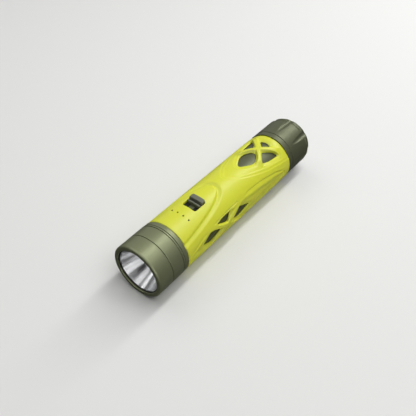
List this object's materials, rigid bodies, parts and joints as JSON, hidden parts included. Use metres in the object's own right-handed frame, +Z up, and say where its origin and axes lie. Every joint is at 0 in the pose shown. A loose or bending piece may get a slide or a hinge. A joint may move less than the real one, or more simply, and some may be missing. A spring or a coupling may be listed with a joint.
{
  "type": "pocket flashlight",
  "caption": "Cylindrical pocket flashlight with a ribbed, windowed grip over a battery tube, a thumb slide switch and a screw-off fluted tail cap.",
  "frame": {"origin": "on the surface that the flashlight lies on, under the middle of its length", "axes": "+X along the axis towards the tail cap, so the beam leaves towards -X; +Z up, the way the thumb switch faces; +Y to the left of the beam"},
  "size_m": [0.1512, 0.0334, 0.0346],
  "materials": {
    "olive_anodised": "bead blasted, hard anodised olive",
    "dark_anodised": "bead blasted, hard anodised dark olive",
    "lime_moulded_grip": "moulded, fine satin",
    "black_rubber": "moulded silicone",
    "black_nylon": "moulded",
    "olive_nylon": "moulded, satin",
    "lens_glass": "polished, coated",
    "vapour_chrome": "smooth vapour-plated bowl",
    "white_nylon": "moulded",
    "led_phosphor": "silicone over phosphor",
    "clear_acrylic": "moulded, clear",
    "heat_sink_copper": "turned copper",
    "core_board": "white mask on a metal core",
    "green_board": "solder mask",
    "wire_insulation": "silicone sleeve",
    "spring_steel": "nickel plated",
    "cell_wrap": "shrink wrap over a steel can"
  },
  "bodies": {
    "body": {"bezel_ring": "olive_anodised", "head_body": "olive_anodised", "battery_tube": "olive_anodised", "grip_sleeve": "lime_moulded_grip", "lens_gasket": "black_rubber", "head_seal": "black_rubber", "tail_seal": "black_rubber", "switch_frame": "black_nylon", "lens": "lens_glass", "reflector": "vapour_chrome", "led_centering_ring": "white_nylon", "cell_insulator": "white_nylon", "led_emitter": "led_phosphor", "indicator_leds": "led_phosphor", "light_guide": "clear_acrylic", "heat_sink": "heat_sink_copper", "led_board": "core_board", "driver_board": "green_board", "switch_board": "green_board", "front_contact_board": "green_board", "led_leads": "wire_insulation", "switch_leads": "wire_insulation", "front_contact_spring": "spring_steel", "board_screws": "spring_steel", "slide_switch_body": "spring_steel", "battery_cell": "cell_wrap"},
    "slider": {"thumb_slider": "olive_nylon", "slider_shutter": "black_nylon", "slide_switch_lever": "white_nylon"},
    "tail_contact": {"tail_contact_board": "green_board", "tail_spring": "spring_steel"},
    "tail_cap": {"tail_cap": "dark_anodised", "tail_retaining_ring": "spring_steel"}
  },
  "joints": [
    {"name": "switch_slide", "type": "slide", "parent": "body", "child": "slider", "axis": [-1, 0, 0], "range_m": [0, 0.0038]},
    {"name": "cap_travel", "type": "slide", "parent": "body", "child": "tail_contact", "axis": [1, 0, 0], "range_m": [0, 0.01]},
    {"name": "cap_turn", "type": "hinge", "parent": "tail_contact", "child": "tail_cap", "pos_m": [0.0756, 0, 0.0167], "axis": [1, 0, 0], "range_deg": [0, 1800]}
  ],
  "couplings": [
    {"joint": "cap_travel", "follows": "cap_turn", "m_per_rad": 0.0003183}
  ]
}
